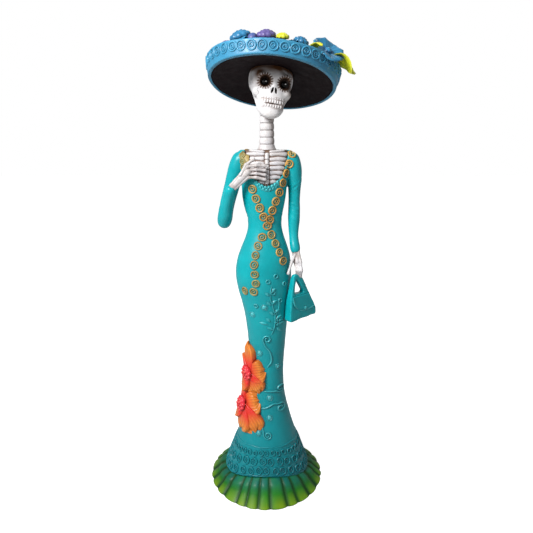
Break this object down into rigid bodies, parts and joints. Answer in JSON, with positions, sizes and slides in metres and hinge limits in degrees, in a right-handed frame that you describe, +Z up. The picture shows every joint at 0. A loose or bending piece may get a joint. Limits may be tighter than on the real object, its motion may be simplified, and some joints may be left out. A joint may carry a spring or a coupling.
{
  "type": "skeleton lady figure",
  "caption": "Free-standing papier-mache skeleton lady in a fitted dress and wide flowered hat, with a handbag; the head turns and lifts off on its neck dowel.",
  "frame": {"origin": "centre of the foot disc on the table", "axes": "+Z up, the figure faces -Y, +X towards the arm that carries the handbag"},
  "size_m": [0.1432, 0.1315, 0.4597],
  "materials": {
    "paper_core": "bare pasted paper, matt",
    "wood_post": "bare turned softwood",
    "teal_dress": "papier-mache painted teal, semi-gloss",
    "teal_light": "papier-mache relief painted teal, dry-brushed lighter",
    "chest_paper": "papier-mache painted brown between the ribs",
    "bone_paint": "papier-mache painted bone white, brown wash in the grooves",
    "gold_paint": "paste relief painted old gold",
    "orange_petal": "papier-mache petals painted orange, streaked",
    "red_heart": "papier-mache flower hearts painted red to pink",
    "ruffle_green": "papier-mache ruffle painted teal shading to yellow-green at the edge",
    "eye_black": "paste painted gloss black",
    "glint_white": "dot of thick white paint",
    "hat_black": "papier-mache painted brown-black",
    "hat_blue": "papier-mache painted blue, semi-gloss",
    "flower_blue": "papier-mache painted deep blue",
    "flower_violet": "papier-mache painted blue-violet with pink",
    "leaf_yellow": "papier-mache painted bright yellow"
  },
  "bodies": {
    "figure": {"foot_disc": "paper_core", "armature_post": "wood_post", "skirt_shell": "teal_dress", "bodice_shell": "teal_dress", "chest_core": "chest_paper", "neck_socket": "paper_core", "ribs": "bone_paint", "breastbone": "bone_paint", "right_sleeve": "teal_dress", "left_sleeve": "teal_dress", "right_hand": "bone_paint", "left_hand": "bone_paint", "bag_body": "teal_dress", "bag_flap": "teal_dress", "bag_button": "teal_light", "neckline_frill": "teal_light", "chain_rosettes": "gold_paint", "skirt_scrolls": "teal_light", "skirt_dots": "teal_light", "skirt_sprig": "teal_light", "upper_flower_petals": "orange_petal", "upper_flower_heart": "red_heart", "lower_flower_petals": "orange_petal", "lower_flower_heart": "red_heart", "lace_rings": "teal_light", "hem_cords": "teal_light", "hem_ruffle": "ruffle_green"},
    "neck": {"neck_dowel": "wood_post", "neck_collar": "bone_paint", "neck_vertebrae": "bone_paint"},
    "head": {"skull": "bone_paint", "upper_teeth": "bone_paint", "lower_teeth": "bone_paint", "eye_petals": "bone_paint", "eye_discs": "eye_black", "eye_glints": "glint_white", "hat_brim": "hat_black", "hat_band": "hat_blue", "hat_crown": "hat_black", "band_rosettes": "hat_blue", "hat_blue_flowers": "flower_blue", "hat_violet_flowers": "flower_violet", "hat_side_bloom": "flower_blue", "hat_yellow_leaves": "leaf_yellow"}
  },
  "joints": [
    {"name": "neck_lift", "type": "slide", "parent": "figure", "child": "neck", "axis": [0, 0, 1], "range_m": [0, 0.036]},
    {"name": "head_turn", "type": "hinge", "parent": "neck", "child": "head", "pos_m": [0.0003, 0.0015, 0.404], "axis": [0, 0, 1], "continuous": true}
  ]
}
